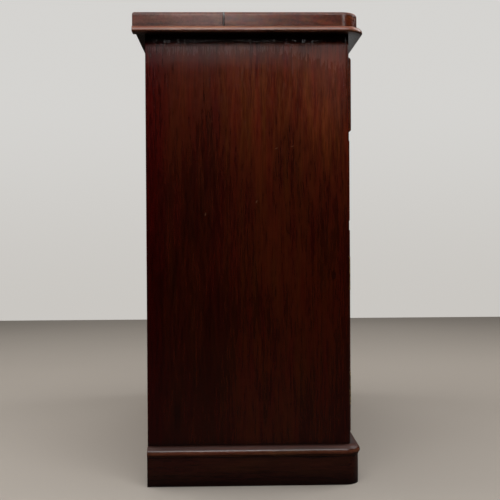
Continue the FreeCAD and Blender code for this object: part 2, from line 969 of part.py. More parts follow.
def carcass_nodes():
    side = left_side_board()
    facing = left_facing()
    leaves = fixed_leaves()
    return {
        "left_side_board": side,
        "right_side_board": mirrored(side),
        "left_facing": facing,
        "right_facing": mirrored(facing),
        "frieze_rail": frieze_rail(),
        "top_back_rail": top_back_rail(),
        "upper_drawer_rail": drawer_rail(upper_rail_under, upper_dust_panels()),
        "lower_drawer_rail": drawer_rail(lower_rail_under, [lower_dust_panel(), bolt_socket()]),
        "bottom_board": bottom_board(),
        "drawer_partition": drawer_partition(),
        "drawer_runners_and_kickers": Part.makeCompound(drawer_runners() + drawer_kickers()),
        "dust_panels": Part.makeCompound(upper_dust_panels() + [lower_dust_panel()]),
        "back_boards": Part.makeCompound(back_boards()),
        "cupboard_shelf": cupboard_shelf(),
        "shelf_bearers": Part.makeCompound(shelf_bearers()),
        "stop_blocks": Part.makeCompound(stop_blocks()),
        "hinge_fixed_leaves": Part.makeCompound(leaves + [mirrored(leaf) for leaf in leaves]),
    }


def drawer_nodes():
    knob_x = (inner_half + partition_half) / 2
    nodes = drawer(
        "left_drawer", -inner_half, -partition_half, upper_rail_top, frieze_under,
        short_drawer_proud, [-knob_x],
    )
    nodes.update(drawer(
        "right_drawer", partition_half, inner_half, upper_rail_top, frieze_under,
        short_drawer_proud, [knob_x],
    ))
    nodes.update(drawer(
        "long_drawer", -inner_half, inner_half, lower_rail_top, upper_rail_under,
        long_drawer_proud, [-knob_x, knob_x],
    ))
    return nodes


def door_nodes():
    stiles, rails, panel = left_door()
    leaves = door_leaves()
    case = lock_case()
    lock_cuts = [knob_hole(lock_x, door_knob_z, door_face), keyhole(door_thickness), case]
    right_stiles = [mirrored(stile).cut(lock_cuts) for stile in stiles]
    return {
        "left_door_stiles": Part.makeCompound(stiles),
        "left_door_rails": Part.makeCompound(rails),
        "left_door_panel": panel,
        "left_door_hinges": Part.makeCompound(leaves),
        "left_door_bolt_plate": bolt_plate(),
        "left_door_bolt": slip_bolt(),
        "right_door_stiles": Part.makeCompound(right_stiles),
        "right_door_rails": Part.makeCompound([mirrored(rail) for rail in rails]),
        "right_door_panel": mirrored(panel),
        "right_door_hinges": Part.makeCompound([mirrored(leaf) for leaf in leaves]),
        "right_door_knob": knob(lock_x, door_knob_z, door_face),
        "right_door_lock": Part.makeCompound([door_escutcheon(), case]),
    }


def main():
    os.makedirs("parts", exist_ok=True)
    nodes = {**top_and_plinth_nodes(), **carcass_nodes(), **drawer_nodes(), **door_nodes()}
    for name, shape in nodes.items():
        shape.exportStep(os.path.join("parts", name + ".step"))
        solids = len(shape.Solids)
        print(name, "solids", solids, "valid", shape.isValid(), "volume", round(shape.Volume))


main()
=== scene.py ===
"""Finishes, small fasteners and a photo stage for a mahogany chiffonier."""
import math
from collections import namedtuple

import bmesh
import bpy
from bpy.props import FloatProperty, FloatVectorProperty, IntProperty, PointerProperty
from mathutils import Matrix, Vector


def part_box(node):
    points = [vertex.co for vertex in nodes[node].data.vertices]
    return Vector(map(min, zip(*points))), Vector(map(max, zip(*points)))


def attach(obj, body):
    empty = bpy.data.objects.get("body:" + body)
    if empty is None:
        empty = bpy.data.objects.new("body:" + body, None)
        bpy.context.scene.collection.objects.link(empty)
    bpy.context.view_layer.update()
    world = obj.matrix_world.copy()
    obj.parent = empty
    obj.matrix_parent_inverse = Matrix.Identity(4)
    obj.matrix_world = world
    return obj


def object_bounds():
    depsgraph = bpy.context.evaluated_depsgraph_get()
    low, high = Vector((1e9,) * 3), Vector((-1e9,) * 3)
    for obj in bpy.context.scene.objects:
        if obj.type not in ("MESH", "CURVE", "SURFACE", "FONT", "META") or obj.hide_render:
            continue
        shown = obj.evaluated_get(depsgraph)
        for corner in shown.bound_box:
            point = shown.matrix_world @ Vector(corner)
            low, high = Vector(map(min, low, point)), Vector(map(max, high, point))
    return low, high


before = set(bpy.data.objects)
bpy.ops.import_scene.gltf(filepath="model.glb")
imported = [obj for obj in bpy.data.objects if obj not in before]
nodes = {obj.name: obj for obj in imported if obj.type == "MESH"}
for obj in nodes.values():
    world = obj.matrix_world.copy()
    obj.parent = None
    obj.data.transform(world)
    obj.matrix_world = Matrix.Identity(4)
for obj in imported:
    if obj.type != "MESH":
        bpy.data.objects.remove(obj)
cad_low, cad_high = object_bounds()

bl_info = {
    "name": "Mahogany chiffonier",
    "version": (1, 0, 0),
    "blender": (4, 5, 0),
    "location": "View3D > Sidebar > Chiffonier",
    "description": "Finishes, small fasteners and a photo stage for a mahogany chiffonier",
    "category": "Object",
}


# Settings that a user would change

def colour_setting(name, description, default):
    return FloatVectorProperty(
        name=name, description=description, default=default, subtype="COLOR", size=3, min=0.0, max=1.0
    )


def share_setting(name, description, default):
    return FloatProperty(
        name=name, description=description, default=default, subtype="FACTOR", min=0.0, max=1.0
    )


def length_setting(name, description, default):
    return FloatProperty(name=name, description=description, default=default, unit="LENGTH", min=0.0)


def power_setting(name, description, default):
    return FloatProperty(name=name, description=description, default=default, unit="POWER", min=0.0)


class CHIFFONIER_PG_finish(bpy.types.PropertyGroup):
    """Colours and polish of the timbers and the brass."""

    side_light: colour_setting("Side, light", "Light streaks of the side boards", (0.134, 0.0220, 0.0053))
    side_dark: colour_setting("Side, dark", "Dark streaks of the side boards", (0.047, 0.0062, 0.0015))
    top_light: colour_setting("Top, light", "Light streaks of the top", (0.150, 0.0320, 0.0110))
    top_dark: colour_setting("Top, dark", "Dark streaks of the top", (0.050, 0.0084, 0.0029))
    # The mouldings are lighter and yellower than the side: partly their own worn colour, partly a painted
    # highlight of their lit noses.
    moulding_light: colour_setting(
        "Moulding, light", "Light streaks of the mouldings", (0.215, 0.0700, 0.0320)
    )
    moulding_dark: colour_setting(
        "Moulding, dark", "Dark streaks of the mouldings", (0.092, 0.0250, 0.0105)
    )
    plinth_light: colour_setting("Plinth, light", "Light streaks of the plinth", (0.066, 0.0150, 0.0070))
    plinth_dark: colour_setting("Plinth, dark", "Dark streaks of the plinth", (0.028, 0.0053, 0.0026))
    front_light: colour_setting(
        "Front, light", "Light streaks of drawer fronts and doors", (0.140, 0.0300, 0.0100)
    )
    front_dark: colour_setting(
        "Front, dark", "Dark streaks of drawer fronts and doors", (0.040, 0.0066, 0.0022)
    )
    lining_light: colour_setting(
        "Lining, light", "Light streaks of the drawer linings", (0.335, 0.185, 0.095)
    )
    lining_dark: colour_setting("Lining, dark", "Dark streaks of the drawer linings", (0.185, 0.088, 0.042))
    pine_light: colour_setting(
        "Pine, light", "Pale wood of the inner and back boards", (0.370, 0.205, 0.095)
    )
    pine_dark: colour_setting("Pine, dark", "Dark growth lines of the pine", (0.190, 0.086, 0.034))
    brass_bright: colour_setting("Brass, rubbed", "Brass where hands keep it bright", (0.560, 0.370, 0.145))
    brass_dull: colour_setting("Brass, tarnished", "Brass where it has gone dull", (0.200, 0.120, 0.048))
    polish_coat: share_setting("Polish", "Weight of the shellac over the mahogany", 0.12)


class CHIFFONIER_PG_fasteners(bpy.types.PropertyGroup):
    """Sizes of the screws and nails."""

    screw_radius: length_setting("Screw head", "Radius of a screw head", 0.0026)
    screw_rise: length_setting("Screw rise", "How far a screw head stands up", 0.00025)
    nail_radius: length_setting("Nail head", "Radius of a nail head", 0.0034)
    nail_rise: length_setting("Nail rise", "How far a nail head stands up", 0.0007)
    pin_radius: length_setting("Pin head", "Radius of an escutcheon pin's head", 0.0010)
    pin_rise: length_setting("Pin rise", "How far an escutcheon pin's head stands up", 0.0005)
    hinge_height: length_setting("Hinge height", "Height of one butt hinge", 0.066)
    hinge_leaf_thickness: length_setting("Hinge leaf", "Thickness of a hinge leaf", 0.002)
    bolt_plate_thickness: length_setting("Bolt plate", "Thickness of the slip bolt's plate", 0.0016)
    back_board_count: IntProperty(
        name="Back boards", description="Upright boards across the back", default=7, min=1
    )


class CHIFFONIER_PG_stage(bpy.types.PropertyGroup):
    """Floor, backdrop, lamps and camera."""

    floor_colour: colour_setting("Floor", "Colour of the floor", (0.375, 0.338, 0.298))
    floor_bounce: share_setting(
        "Floor bounce", "Share of its colour that the floor throws on the piece", 0.08
    )
    backdrop_colour: colour_setting("Backdrop", "Colour of the backdrop", (0.665, 0.655, 0.635))
    backdrop_foot: colour_setting(
        "Backdrop foot", "Colour of the backdrop near the floor", (0.590, 0.570, 0.540)
    )
    backdrop_distance: length_setting(
        "Backdrop distance", "From the middle to each wall of the backdrop", 2.77
    )
    key_power: power_setting("Key lamp", "Lamp over the side that faces the camera", 19.0)
    sheen_power: power_setting(
        "Sheen lamp", "Low strip that the polish mirrors at the top of the side", 1.9
    )
    front_power: power_setting("Front lamp", "Soft lamp before the doors", 46.0)
    corner_power: power_setting("Corner lamp", "Small lamp that the rounded front corner mirrors", 0.8)
    far_power: power_setting(
        "Far lamp", "Pale far side of the room, mirrored where polish is seen edge on", 0.95
    )
    side_power: power_setting("Side lamp", "Soft lamp beside the right end", 24.0)
    back_power: power_setting("Back lamp", "Soft lamp behind the back", 46.0)
    top_power: power_setting("Top lamp", "Soft lamp overhead", 42.0)
    room_light: share_setting("Room light", "Even light from all round", 0.05)
    room_gloss: share_setting(
        "Room gloss", "How bright the dark room is where the polish mirrors it", 0.005
    )
    camera_place: FloatVectorProperty(
        name="Camera place", description="Where the camera stands", default=(-2.298, 0.0483, 0.5106),
        subtype="TRANSLATION", unit="LENGTH",
    )
    camera_yaw: FloatProperty(
        name="Yaw", description="Turn of the camera to the front of the piece", default=math.radians(1.428),
        unit="ROTATION",
    )
    camera_pitch: FloatProperty(
        name="Pitch", description="Tilt of the camera up from level", default=math.radians(-0.64),
        unit="ROTATION",
    )
    camera_roll: FloatProperty(
        name="Roll", description="Lean of the camera", default=math.radians(-0.316), unit="ROTATION"
    )
    lens: FloatProperty(
        name="Lens", description="Focal length on a 36 mm sensor", default=65.15, unit="CAMERA"
    )
    camera_rise: FloatProperty(name="Rise", description="Lens shift up, in picture widths", default=-0.0245)


# Node trees

class Graph:
    """A node tree, with short calls for the nodes that the finishes share."""

    def __init__(self, owner):
        self.owner = owner
        owner.use_nodes = True
        self.tree = owner.node_tree
        self.tree.nodes.clear()

    def add(self, kind, inputs, **settings):
        node = self.tree.nodes.new(kind)
        for key, value in settings.items():
            setattr(node, key, value)
        for socket, value in inputs.items():
            self.feed(node.inputs[socket], value)
        return node

    def feed(self, socket, value):
        if isinstance(value, bpy.types.NodeSocket):
            self.tree.links.new(value, socket)
        else:
            socket.default_value = value

    def math(self, operation, first, second=0.0):
        return self.add("ShaderNodeMath", {0: first, 1: second}, operation=operation).outputs[0]

    def line(self, value, slope, start):
        """A value scaled and raised."""
        inputs = {0: value, 1: slope, 2: start}
        return self.add("ShaderNodeMath", inputs, operation="MULTIPLY_ADD").outputs[0]

    def vector(self, operation, first, second):
        node = self.add("ShaderNodeVectorMath", {0: first, 1: second}, operation=operation)
        return node.outputs["Vector"]

    def place(self):
        """The place on the piece, in metres in the part's own frame."""
        return self.add("ShaderNodeTexCoord", {}).outputs["Object"]

    def normal(self):
        """The way that the surface faces."""
        return self.add("ShaderNodeNewGeometry", {}).outputs["Normal"]

    def axis(self, vector, name):
        """The part of a vector along one axis."""
        return self.add("ShaderNodeSeparateXYZ", {0: vector}).outputs[name]

    def length(self, vector):
        return self.add("ShaderNodeVectorMath", {0: vector}, operation="LENGTH").outputs["Value"]

    def noise(self, place, per_metre, detail=2.0, roughness=0.5):
        """Cloudy noise with so many features to the metre each way."""
        inputs = {"Vector": self.vector("MULTIPLY", place, per_metre), "Scale": 1.0}
        inputs.update({"Detail": detail, "Roughness": roughness})
        return self.add("ShaderNodeTexNoise", inputs).outputs["Fac"]

    def ramp(self, value, low, high):
        """Nought below low, one above high and a soft step between them."""
        inputs = {"Value": value, "From Min": low, "From Max": high}
        return self.add("ShaderNodeMapRange", inputs, interpolation_type="SMOOTHSTEP").outputs["Result"]

    def spot(self, place, centre, per_metre):
        """One at the centre, falling to nought at one over the rate each way."""
        away = self.vector("MULTIPLY", self.vector("SUBTRACT", place, centre), per_metre)
        return self.ramp(self.length(away), 1.0, 0.2)

    def mix(self, share, first, second, mode="MIX"):
        node = self.tree.nodes.new("ShaderNodeMix")
        node.data_type = "RGBA"
        node.blend_type = mode
        share_socket, first_socket, second_socket = node.inputs[0], node.inputs[6], node.inputs[7]
        self.feed(share_socket, share)
        self.feed(first_socket, first if isinstance(first, bpy.types.NodeSocket) else (*first, 1.0))
        self.feed(second_socket, second if isinstance(second, bpy.types.NodeSocket) else (*second, 1.0))
        return node.outputs[2]

    def weigh(self, parts):
        """The middle grey, moved by each part's own swing about its middle."""
        total = 0.5
        for value, weight in parts:
            total = self.math("ADD", self.line(value, weight, -weight / 2), total)
        return self.math("MAXIMUM", self.math("MINIMUM", total, 1.0), 0.0)

    def streaks(self, place, per_metre, detail=2.0):
        """Noise spread over the whole way from nought to one."""
        return self.ramp(self.noise(place, per_metre, detail), 0.30, 0.70)

    def greyed(self, colour):
        """The same colour with some of its redness lost."""
        inputs = {"Saturation": 0.86, "Value": 1.05, "Color": colour}
        return self.add("ShaderNodeHueSaturation", inputs).outputs["Color"]

    def shade(self, share, colour, tint):
        """The colour multiplied by a tint where the share is one."""
        return self.mix(share, colour, tint, "MULTIPLY")

    def surface(self, inputs):
        shader = self.add("ShaderNodeBsdfPrincipled", inputs)
        self.add("ShaderNodeOutputMaterial", {"Surface": shader.outputs["BSDF"]})
        return self.owner


def new_material(name):
    return Graph(bpy.data.materials.new(name))


# Timber

Look = namedtuple("Look", "broad ribbon fine rings pores roughness coat wear heart ring_pitch")

AXES = {"X": ("Y", "Z", "X"), "Y": ("Z", "X", "Y"), "Z": ("X", "Y", "Z")}
LOG_STEPS = (0.37, 0.73, 1.19)

# Features of the figure to the metre, two ways across the grain and one along it
BROAD_STREAKS = (17.0, 17.0, 3.6)
RIBBON_STREAKS = (170.0, 170.0, 14.0)
FINE_STREAKS = (560.0, 560.0, 48.0)
PORES = (1500.0, 1500.0, 55.0)
COLOUR_CAST = (70.0, 70.0, 6.0)
SWELL = (11.0, 11.0, 3.5)
RIPPLE = (4.0, 4.0, 1.1)

RIPPLE_PUSH = 7.0
RIPPLE_DRIFT = 3.0
RUBBED_PATCHES = (45.0, 45.0, 45.0)
PORE_TINT = (0.45, 0.40, 0.38)
EDGE_RADIUS = 0.0016
SHADE_AND_DIRT_REACH = 0.055
SHADE_AND_DIRT_STRENGTH = 0.92
SHADE_AND_DIRT_DARKNESS = 0.16
FIGURE_DEPTH = 0.0009


def board_place(graph, grain):
    """A place with the grain along Z, in the board and in a log of its own, and the board's number."""
    place = graph.place()
    board = graph.add("ShaderNodeObjectInfo", {}).outputs["Object Index"]
    shift = graph.add("ShaderNodeCombineXYZ", {})
    for axis, step in zip("XYZ", LOG_STEPS):
        graph.feed(shift.inputs[axis], graph.math("MULTIPLY", board, step))
    turned = graph.add("ShaderNodeCombineXYZ", {})
    parts = graph.add("ShaderNodeSeparateXYZ", {0: place})
    for axis, source in zip("XYZ", AXES[grain]):
        graph.feed(turned.inputs[axis], parts.outputs[source])
    return turned.outputs[0], graph.vector("ADD", turned.outputs[0], shift.outputs[0]), board


def growth_rings(graph, log_place, figure_place, look):
    """Uneven growth lines round the heart of the tree, pushed about by a slow ripple."""
    across = graph.vector("MULTIPLY", log_place, (1.0, 1.0, 0.0))
    radius = graph.length(graph.vector("SUBTRACT", across, (*look.heart, 0.0)))
    ripple = graph.noise(figure_place, RIPPLE, detail=3.0)
    years = graph.math("MULTIPLY", radius, 1.0 / look.ring_pitch)
    turns = graph.math("ADD", years, graph.math("MULTIPLY", ripple, RIPPLE_PUSH))
    drift = graph.math("MULTIPLY", ripple, RIPPLE_DRIFT)
    line = graph.add("ShaderNodeCombineXYZ", {"X": turns, "Y": drift}).outputs[0]
    return graph.streaks(line, (1.0, 1.0, 1.0))


def worn_edges(graph, place, soft_edge):
    """One along the arrises, in broken stretches where polish has been rubbed away."""
    inputs = {0: soft_edge, 1: graph.normal()}
    facing = graph.add("ShaderNodeVectorMath", inputs, operation="DOT_PRODUCT").outputs["Value"]
    edge = graph.ramp(graph.math("SUBTRACT", 1.0, facing), 0.02, 0.30)
    rub = graph.ramp(graph.noise(place, RUBBED_PATCHES, detail=3.0), 0.44, 0.66)
    return graph.math("MULTIPLY", edge, rub)


def timber(name, grain, light, dark, look, marks):
    """A board: streaked figure, growth lines, pores, rubbed edges, and old dirt and painted shade in the
    corners.
    """
    graph = new_material(name)
    place = graph.place()
    log_place, figure_place, board = board_place(graph, grain)
    broad = graph.streaks(figure_place, BROAD_STREAKS)
    ribbon = graph.streaks(figure_place, RIBBON_STREAKS, detail=3.0)
    fine = graph.streaks(figure_place, FINE_STREAKS)
    rings = growth_rings(graph, log_place, figure_place, look)
    pores = graph.ramp(graph.noise(figure_place, PORES, detail=1.0), 0.56, 0.68)

    tone = graph.weigh([(broad, look.broad), (ribbon, look.ribbon), (fine, look.fine), (rings, look.rings)])
    colour = graph.mix(tone, dark, light)
    number = graph.add("ShaderNodeTexWhiteNoise", {"W": board}, noise_dimensions="1D")
    board_tint = graph.line(number.outputs["Value"], 0.20, 0.90)
    cast = graph.line(graph.noise(figure_place, COLOUR_CAST), 0.04, 0.48)
    inputs = {"Hue": cast, "Value": board_tint, "Color": colour}
    colour = graph.add("ShaderNodeHueSaturation", inputs).outputs["Color"]
    colour = graph.shade(graph.math("MULTIPLY", pores, look.pores), colour, PORE_TINT)
    roughness = graph.line(fine, 0.06, look.roughness - 0.03)

    soft_edge = graph.add("ShaderNodeBevel", {"Radius": EDGE_RADIUS}, samples=4).outputs["Normal"]
    worn = graph.math("MULTIPLY", worn_edges(graph, place, soft_edge), look.wear)
    colour = graph.mix(worn, colour, [1.25 * part + 0.006 for part in light])
    # Old dirt and painted shade: the colour is darkened where the surface is closed in, in corners and
    # under overhangs.
    hollow = graph.add("ShaderNodeAmbientOcclusion", {"Distance": SHADE_AND_DIRT_REACH}, samples=6)
    closed = graph.math("SUBTRACT", 1.0, hollow.outputs["AO"])
    dirt_and_shade = graph.math("MULTIPLY", graph.ramp(closed, 0.12, 0.46), SHADE_AND_DIRT_STRENGTH)
    untouched = graph.line(graph.ramp(closed, 0.24, 0.36), -0.75, 1.0)
    roughness = graph.math("MULTIPLY", roughness, untouched)
    colour = graph.mix(dirt_and_shade, colour, [SHADE_AND_DIRT_DARKNESS * part for part in dark])
    if marks:
        colour, roughness = marks(graph, place, colour, roughness)

    height = graph.noise(figure_place, SWELL, detail=1.0)
    height = graph.math("ADD", height, graph.math("MULTIPLY", ribbon, 0.03))
    height = graph.math("ADD", height, graph.math("MULTIPLY", fine, 0.025))
    height = graph.math("SUBTRACT", height, graph.math("MULTIPLY", pores, 0.05))
    inputs = {"Height": height, "Distance": FIGURE_DEPTH, "Strength": 0.55, "Normal": soft_edge}
    bump = graph.add("ShaderNodeBump", inputs)
    return graph.surface({
        "Base Color": colour, "Roughness": roughness, "Normal": bump.outputs["Normal"],
        "Specular IOR Level": 0.45, "Coat Weight": look.coat, "Coat Roughness": 0.12,
    })


# Marks on the sides, some of them painted light and shade: tints multiply the colour, and places are metres
# in the part's own frame

Scuff = namedtuple("Scuff", "y z turn")
Patch = namedtuple("Patch", "y z per_metre tint")

UNFADED_AND_SHADED_TINT = (0.49, 0.42, 0.36)
LOW_FRONT_TINT = (0.80, 0.65, 0.60)
BACKWARD_SHADE_TINT = (0.66, 0.52, 0.50)
FACING_SHADE_TINT = (0.88, 0.80, 0.80)
BACK_EDGE_TINT = (1.0, 0.22, 0.12)
UNDER_TOP_SHADE_TINT = (0.35, 0.35, 0.35)
FADE_AND_SHADE_TILT = 0.15
SCUFF_COLOUR = (0.13, 0.060, 0.036)
SCUFF_PER_METRE = (330.0, 200.0, 900.0)
SCUFF_STRENGTH = 0.75
SCUFFS = (
    Scuff(-0.0816, 0.672, 0.2), Scuff(-0.010, 0.562, 1.1),
    Scuff(0.0916, 0.538, 1.4), Scuff(-0.050, 0.668, 0.4),
)
PALE_LINE = Patch(0.1116, 0.24, (50.0, 380.0, 9.0), (1.5, 1.6, 1.5))
PALE_STREAK = Patch(-0.02, 0.25, (30.0, 50.0, 12.0), (1.35, 1.45, 1.2))
KNOT = Patch(-0.163, 0.415, (90.0, 150.0, 70.0), (0.35, 0.30, 0.30))


def side_marks(graph, place, colour, roughness):
    """The side lighter towards the top, partly faded and partly painted light, with painted shade behind,
    on the front edge and under the top; scuffed and knotted, and hazed under the top.
    """
    low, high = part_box("left_side_board")
    parts = graph.add("ShaderNodeSeparateXYZ", {0: place})
    before = graph.ramp(parts.outputs["Y"], low.y + 0.35 * (high.y - low.y), low.y)
    colour = fade_and_shade_side(graph, parts, before, colour)
    colour = scuff_side(graph, place, colour)
    return haze_and_shade_side(graph, parts, before, colour, roughness)


def fade_and_shade_side(graph, parts, before, colour):
    """Lighter at the top, partly faded and partly painted light, further down behind than before; darker at
    the low front; painted shade behind and on the front edge; and dark along the back edge.
    """
    low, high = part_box("left_side_board")
    height = high.z - low.z
    depth = high.y - low.y
    # Lighter towards the top: partly faded polish, partly painted light for the light falling off down the
    # side.
    fade_and_shade_height = graph.math("ADD", parts.outputs["Z"], graph.math("MULTIPLY", before, FADE_AND_SHADE_TILT))
    unfaded_and_shaded = graph.ramp(fade_and_shade_height, high.z - 0.03 * height, high.z - 0.40 * height)
    colour = graph.shade(unfaded_and_shaded, colour, UNFADED_AND_SHADED_TINT)
    colour = graph.shade(graph.math("MULTIPLY", unfaded_and_shaded, before), colour, LOW_FRONT_TINT)
    # Painted shade: the back part of the side is darker, as if less lit.
    backward_shade = graph.ramp(parts.outputs["Y"], low.y + 0.42 * depth, high.y - 0.25 * depth)
    colour = graph.shade(backward_shade, colour, BACKWARD_SHADE_TINT)
    # Painted shade on the rounded front edge, where it turns away from the light.
    facing = graph.ramp(parts.outputs["Y"], low.y + 0.01 * depth, low.y - 0.01 * depth)
    colour = graph.shade(facing, colour, FACING_SHADE_TINT)
    back_edge = graph.ramp(parts.outputs["Y"], high.y - 0.14 * depth, high.y - 0.03 * depth)
    return graph.shade(back_edge, colour, BACK_EDGE_TINT)


def scuff_side(graph, place, colour):
    """Small pale scuffs, a pale line and streak, and a dark knot."""
    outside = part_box("left_side_board")[0].x
    for mark in SCUFFS:
        inputs = {"Vector": graph.vector("SUBTRACT", place, (outside, mark.y, mark.z)), "Angle": mark.turn}
        rotated = graph.add("ShaderNodeVectorRotate", inputs, rotation_type="X_AXIS").outputs["Vector"]
        scuff = graph.spot(rotated, (0.0, 0.0, 0.0), SCUFF_PER_METRE)
        colour = graph.mix(graph.math("MULTIPLY", scuff, SCUFF_STRENGTH), colour, SCUFF_COLOUR)
    for mark in (PALE_LINE, PALE_STREAK, KNOT):
        patch = graph.spot(place, (outside, mark.y, mark.z), mark.per_metre)
        colour = graph.shade(patch, colour, mark.tint)
    return colour


def haze_and_shade_side(graph, parts, before, colour, roughness):
    """Polish hazed below the top and towards the front, and painted shade right under the top, where the
    polish is glossier.
    """
    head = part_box("left_side_board")[1].z
    up = parts.outputs["Z"]
    haze = graph.ramp(up, head - 0.095, head - 0.022)
    haze = graph.math("MULTIPLY", haze, graph.ramp(up, head - 0.029, head - 0.040))
    front_haze = graph.math("MULTIPLY", before, graph.ramp(up, head - 0.30, head - 0.10))
    haze = graph.math("ADD", graph.math("MULTIPLY", haze, 0.13), graph.math("MULTIPLY", front_haze, 0.08))
    roughness = graph.math("ADD", roughness, haze)
    # Painted shade in the band right under the top, where the top's overhang shades the side.
    shade_under_top = graph.ramp(up, head - 0.034, head - 0.027)
    roughness = graph.math("MULTIPLY", roughness, graph.line(shade_under_top, -0.8, 1.0))
    return graph.shade(shade_under_top, colour, UNDER_TOP_SHADE_TINT), roughness


# Marks on the top, and painted shade and light on the low mouldings

JOINT_TINT = (0.10, 0.08, 0.08)
SHEEN_BEHIND_JOINT = 0.006
SLOPE_SHADE_TINT = (0.34, 0.22, 0.17)
UNDERSIDE_LIGHT_TINT = (1.8, 1.7, 1.7)


def glue_line(graph, place, colour, roughness):
    """The dark line between the planks of the top, the sheen round it and the greyer plank behind it."""
    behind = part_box("top_board_back")[0].y
    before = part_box("top_board_front")[1].y
    middle = (behind + before) / 2
    y = graph.axis(place, "Y")
    colour = graph.mix(graph.ramp(y, before, behind), colour, graph.greyed(colour))
    from_joint = graph.math("ABSOLUTE", graph.math("SUBTRACT", y, middle))
    joint = graph.ramp(from_joint, 0.0028, 0.0014)
    up = graph.axis(graph.normal(), "Z")
    arris = graph.math("MULTIPLY", graph.ramp(up, 0.03, 0.15), graph.ramp(up, 0.995, 0.95))
    from_sheen = graph.math("ABSOLUTE", graph.math("SUBTRACT", y, middle + SHEEN_BEHIND_JOINT))
    sheen = graph.line(graph.ramp(from_sheen, 0.15, 0.02), 0.20, 0.88)
    roughness = graph.math("MULTIPLY", roughness, sheen)
    roughness = graph.math("ADD", roughness, graph.math("MULTIPLY", arris, 0.48))
    roughness = graph.math("MULTIPLY", roughness, graph.line(joint, -0.85, 1.0))
    return graph.shade(joint, colour, JOINT_TINT), roughness


def foot_shade_and_light(graph, place, colour, roughness):
    """Painted shade on the slopes of the low mouldings and painted light on their undersides, the slopes
    dulled and the noses glossier.
    """
    low = graph.ramp(graph.axis(place, "Z"), 0.5, 0.2)
    up = graph.axis(graph.normal(), "Z")
    dull = graph.line(graph.ramp(up, 0.56, 0.68), 0.42, -0.10)
    roughness = graph.math("ADD", roughness, graph.math("MULTIPLY", low, dull))
    # Painted shade: the upward slopes are darker, as if less lit from above.
    slope = graph.math("MULTIPLY", low, graph.ramp(up, 0.25, 0.60))
    colour = graph.shade(slope, colour, SLOPE_SHADE_TINT)
    # Painted light: the undersides are lighter, as if lit from the floor below.
    underside = graph.math("MULTIPLY", low, graph.ramp(up, 0.1, -0.3))
    return graph.shade(underside, colour, UNDERSIDE_LIGHT_TINT), roughness


# Metals

TARNISH_CLOUDS = (120.0, 120.0, 120.0)
BRASS_SCRATCHES = (2600.0, 260.0, 900.0)
BRASS_EDGE_RADIUS = 0.0006
SCRATCH_DEPTH = 0.00004
RUST_PATCHES = (900.0, 900.0, 900.0)
RUST_DEPTH = 0.00008
IRON_COLOUR = (0.060, 0.055, 0.052)
RUST_COLOUR = (0.115, 0.048, 0.022)


def brass(name, bright, dull):
    """Old brass: tarnish in clouds, fine scratches and softened edges."""
    graph = new_material(name)
    place = graph.place()
    clouds = graph.ramp(graph.noise(place, TARNISH_CLOUDS, detail=4.0, roughness=0.6), 0.36, 0.66)
    scratches = graph.noise(place, BRASS_SCRATCHES, detail=1.0)
    soft_edge = graph.add("ShaderNodeBevel", {"Radius": BRASS_EDGE_RADIUS}, samples=4).outputs["Normal"]
    colour = graph.mix(clouds, bright, dull)
    roughness = graph.line(clouds, 0.22, 0.30)
    inputs = {"Height": scratches, "Distance": SCRATCH_DEPTH, "Strength": 0.5, "Normal": soft_edge}
    bump = graph.add("ShaderNodeBump", inputs)
    return graph.surface({
        "Base Color": colour, "Metallic": 0.55, "Roughness": roughness, "Normal": bump.outputs["Normal"],
    })


def iron(name):
    """Dark iron of old nail heads, with rust in patches."""
    graph = new_material(name)
    place = graph.place()
    rust = graph.ramp(graph.noise(place, RUST_PATCHES, detail=3.0), 0.42, 0.62)
    colour = graph.mix(rust, IRON_COLOUR, RUST_COLOUR)
    roughness = graph.line(rust, 0.35, 0.45)
    bump = graph.add("ShaderNodeBump", {"Height": rust, "Distance": RUST_DEPTH, "Strength": 0.6})
    return graph.surface({
        "Base Color": colour, "Metallic": 0.75, "Roughness": roughness, "Normal": bump.outputs["Normal"],
    })


# Kinds of timber

POLISHED = Look(
    broad=0.44, ribbon=0.52, fine=0.42, rings=0.14, pores=0.26,
    roughness=0.17, coat=1.0, wear=0.30, heart=(0.31, 0.05), ring_pitch=0.011,
)
MOULDED = POLISHED._replace(roughness=0.34)
FIGURED = Look(
    broad=0.40, ribbon=0.42, fine=0.26, rings=0.62, pores=0.50,
    roughness=0.24, coat=1.0, wear=0.40, heart=(0.09, 0.62), ring_pitch=0.013,
)
ENDWISE = Look(
    broad=0.35, ribbon=0.50, fine=0.46, rings=0.60, pores=0.45,
    roughness=0.20, coat=1.0, wear=0.12, heart=(0.08, -0.55), ring_pitch=0.0065,
)
BARE = Look(
    broad=0.35, ribbon=0.35, fine=0.30, rings=0.40, pores=0.50,
    roughness=0.62, coat=0.0, wear=0.25, heart=(0.12, 0.30), ring_pitch=0.007,
)
SAWN = Look(
    broad=0.30, ribbon=0.25, fine=0.30, rings=0.85, pores=0.15,
    roughness=0.72, coat=0.0, wear=0.20, heart=(0.16, 0.22), ring_pitch=0.0085,
)
LOOKS = {
    "side": POLISHED, "moulding": MOULDED, "plinth": POLISHED, "top": ENDWISE,
    "front": FIGURED, "lining": BARE, "pine": SAWN,
}
MARKS = {"side": side_marks, "top": glue_line, "moulding": foot_shade_and_light}


def timber_finish(kind, grain):
    """The finish of this kind for boards with their grain this way, made once."""
    name = f"{kind}_{grain.lower()}"
    if name in bpy.data.materials:
        return bpy.data.materials[name]
    finish = bpy.context.scene.chiffonier_finish
    look = LOOKS[kind]
    look = look._replace(coat=look.coat * finish.polish_coat)
    light = getattr(finish, f"{kind}_light")
    dark = getattr(finish, f"{kind}_dark")
    return timber(name, grain, light, dark, look, MARKS.get(kind))


def give_finish(names, material):
    """Puts one finish on CAD nodes, and numbers each board so that its figure is its own."""
    for name in names:
        board = nodes[name]
        board.pass_index = list(nodes).index(name) + 1
        for slot in board.material_slots:
            slot.material = material


# Small fasteners

